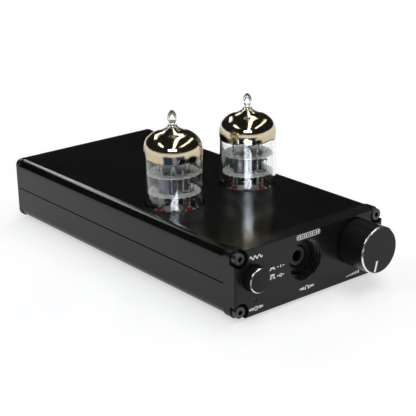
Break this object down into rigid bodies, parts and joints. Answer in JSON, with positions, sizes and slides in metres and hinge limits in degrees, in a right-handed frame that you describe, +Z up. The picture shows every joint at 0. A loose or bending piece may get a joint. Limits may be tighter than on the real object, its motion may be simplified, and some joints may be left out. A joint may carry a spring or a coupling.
{
  "type": "headphone amplifier",
  "caption": "Small desktop headphone amplifier: flat black metal case with miniature glass valves on top, a volume knob, a round power button and a recessed headphone jack.",
  "frame": {"origin": "on the surface the feet stand on, in the middle of the whole object's width and length", "axes": "+Z up, front panel towards -Y, +X to the right seen from the front"},
  "size_m": [0.0604, 0.1404, 0.0522],
  "materials": {
    "case_black": "black anodised, glossy top",
    "panel_black": "fine satin black anodised",
    "knob_black": "satin black anodised with a bright turned edge",
    "screw_steel": "dark nickel",
    "white_mark": "white filled engraving",
    "rubber": "matt",
    "black_plastic": "moulded",
    "board_green": "solder mask",
    "brass": "turned",
    "nickel": "nickel plated",
    "glass": "clear drawn glass",
    "getter_film": "evaporated metal mirror",
    "mica": "clear mica sheet",
    "electrode_metal": "grey nickel sheet",
    "seal_glass": "red glass beads",
    "socket_ceramic": "white",
    "contact_gold": "gold plated",
    "insert_white": "moulded",
    "insert_red": "moulded",
    "light_clear": "clear light pipe, unlit",
    "capacitor_sleeve": "printed sleeve",
    "film_red": "moulded",
    "sink_aluminium": "black extruded"
  },
  "bodies": {
    "chassis": {"top_shell": "case_black", "bottom_shell": "case_black", "front_panel": "panel_black", "rear_panel": "panel_black", "front_panel_screws": "screw_steel", "rear_panel_screws": "screw_steel", "rubber_feet": "rubber", "potentiometer_bushing": "brass", "potentiometer_washer": "nickel", "potentiometer_nut": "nickel", "potentiometer_body": "black_plastic", "switch_body": "black_plastic", "jack_nose": "black_plastic", "jack_body": "black_plastic", "light_pipe": "light_clear", "indicator_led": "light_clear", "phono_block": "black_plastic", "inlet_body": "black_plastic", "inlet_pin": "nickel", "electrolytic_capacitors": "capacitor_sleeve", "film_capacitors": "film_red", "audio_chips": "black_plastic", "resistors": "film_red", "regulator": "black_plastic", "heat_sink": "sink_aluminium", "inductor": "black_plastic", "solder_leads": "nickel", "circuit_board": "board_green", "valve_socket_left": "socket_ceramic", "valve_contacts_left": "contact_gold", "phono_shell_left": "nickel", "phono_insulator_left": "insert_white", "phono_contact_left": "contact_gold", "valve_socket_right": "socket_ceramic", "valve_contacts_right": "contact_gold", "phono_shell_right": "nickel", "phono_insulator_right": "insert_red", "phono_contact_right": "contact_gold"},
    "knob": {"volume_knob": "knob_black", "knob_pointer": "white_mark", "knob_grub_screw": "screw_steel", "potentiometer_shaft": "brass"},
    "button": {"power_button": "knob_black", "switch_plunger": "black_plastic"},
    "valve_left": {"valve_bulb_left": "glass", "valve_getter_left": "getter_film", "valve_micas_left": "mica", "valve_anode_left": "electrode_metal", "valve_electrodes_left": "electrode_metal", "valve_seals_left": "seal_glass", "valve_pins_left": "nickel"},
    "valve_right": {"valve_bulb_right": "glass", "valve_getter_right": "getter_film", "valve_micas_right": "mica", "valve_anode_right": "electrode_metal", "valve_electrodes_right": "electrode_metal", "valve_seals_right": "seal_glass", "valve_pins_right": "nickel"}
  },
  "joints": [
    {"name": "volume_knob_turn", "type": "hinge", "parent": "chassis", "child": "knob", "pos_m": [0.01796, -0.05955, 0.01371], "axis": [0, 1, 0], "range_deg": [0, 300]},
    {"name": "power_button_press", "type": "slide", "parent": "chassis", "child": "button", "axis": [0, 1, 0], "range_m": [0, 0.002], "stiffness_N_per_m": 500, "springref_m": -0.0005},
    {"name": "valve_left_lift", "type": "slide", "parent": "chassis", "child": "valve_left", "axis": [0, 0, 1], "range_m": [0, 0.03]},
    {"name": "valve_right_lift", "type": "slide", "parent": "chassis", "child": "valve_right", "axis": [0, 0, 1], "range_m": [0, 0.03]}
  ]
}
